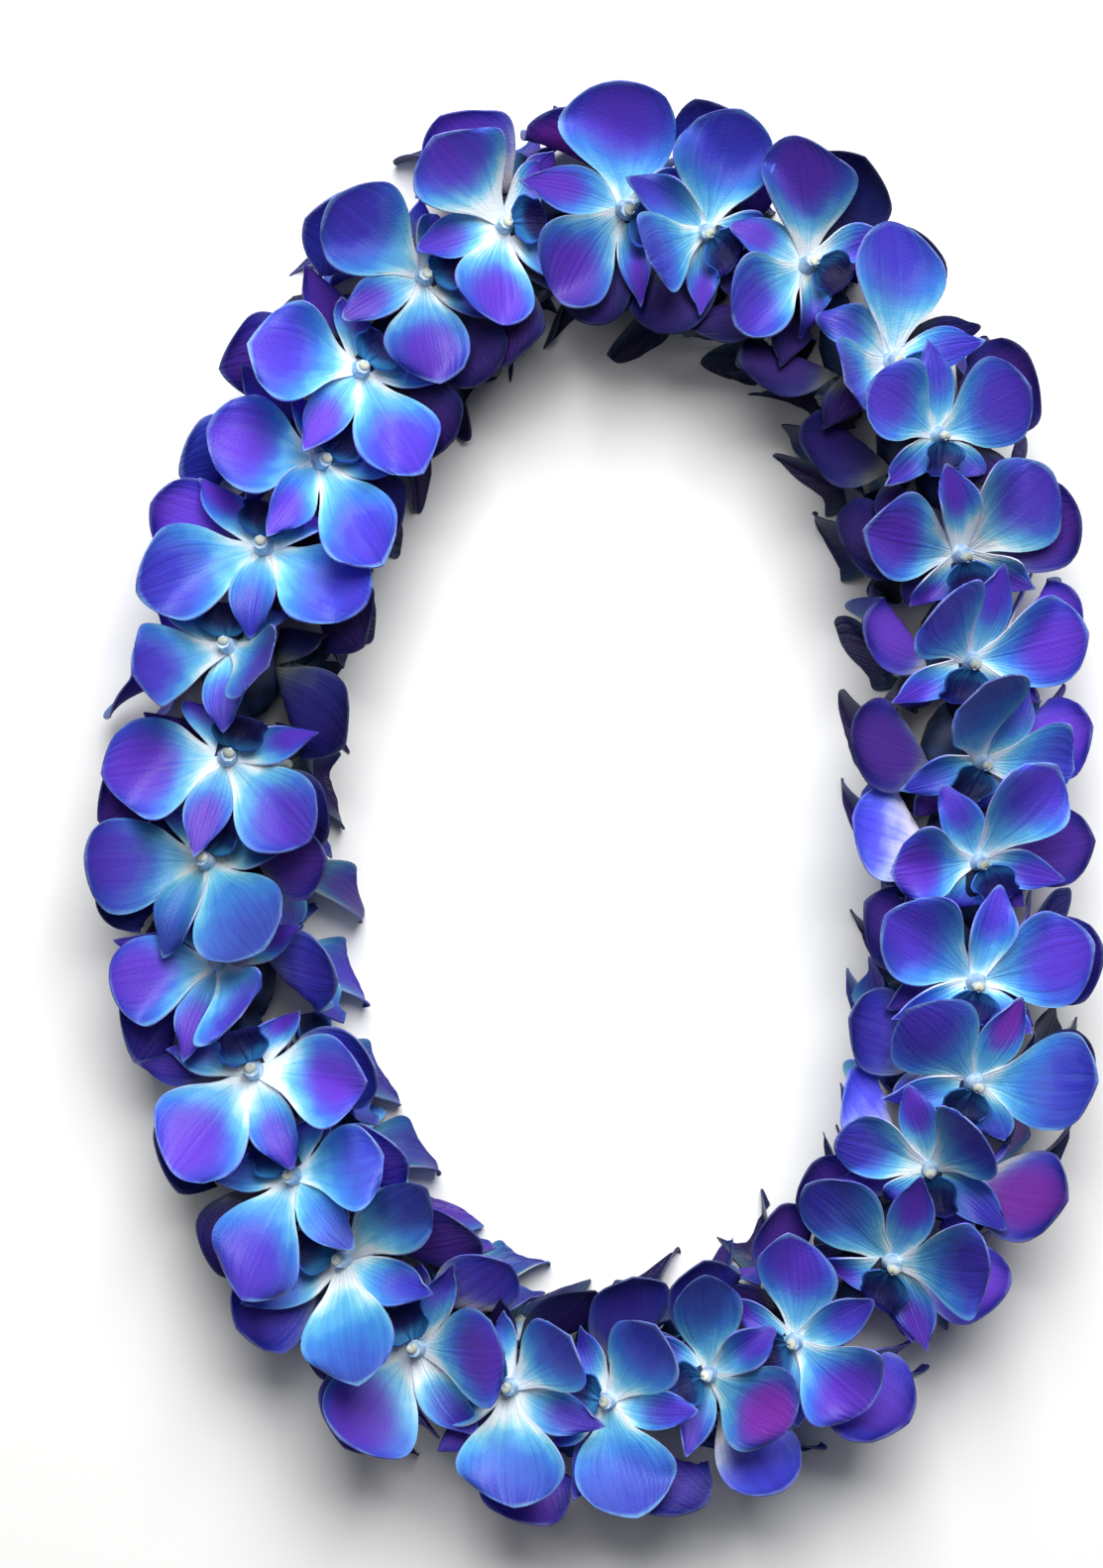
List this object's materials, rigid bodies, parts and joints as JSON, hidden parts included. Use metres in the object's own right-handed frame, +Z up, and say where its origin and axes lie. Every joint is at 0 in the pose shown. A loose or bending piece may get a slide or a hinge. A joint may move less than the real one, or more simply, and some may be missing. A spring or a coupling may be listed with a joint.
{
  "type": "fresh flower lei",
  "caption": "Closed loop of fresh orchid blooms strung on a thread through their necks, laid flat as an oval garland; worn round the neck or hung on display",
  "frame": {"origin": "Bottom centre of the box round the lei as it lies flat on a table", "axes": "+Y along the long way of the oval loop, +X across it, +Z up from the table"},
  "size_m": [0.2878, 0.3976, 0.0641],
  "materials": {
    "petal": "soft waxy petal",
    "cotton": "matt"
  },
  "bodies": {
    "root": {"whorl_01": "petal", "whorl_02": "petal", "whorl_03": "petal", "whorl_04": "petal", "whorl_05": "petal", "whorl_06": "petal", "whorl_07": "petal", "whorl_08": "petal", "whorl_09": "petal", "whorl_10": "petal", "whorl_11": "petal", "whorl_12": "petal", "whorl_13": "petal", "whorl_14": "petal", "whorl_15": "petal", "whorl_16": "petal", "whorl_17": "petal", "whorl_18": "petal", "whorl_19": "petal", "whorl_20": "petal", "whorl_21": "petal", "whorl_22": "petal", "whorl_23": "petal", "whorl_24": "petal", "whorl_25": "petal", "whorl_26": "petal", "whorl_27": "petal", "whorl_28": "petal", "whorl_29": "petal", "whorl_30": "petal", "thread": "cotton"}
  },
  "joints": []
}
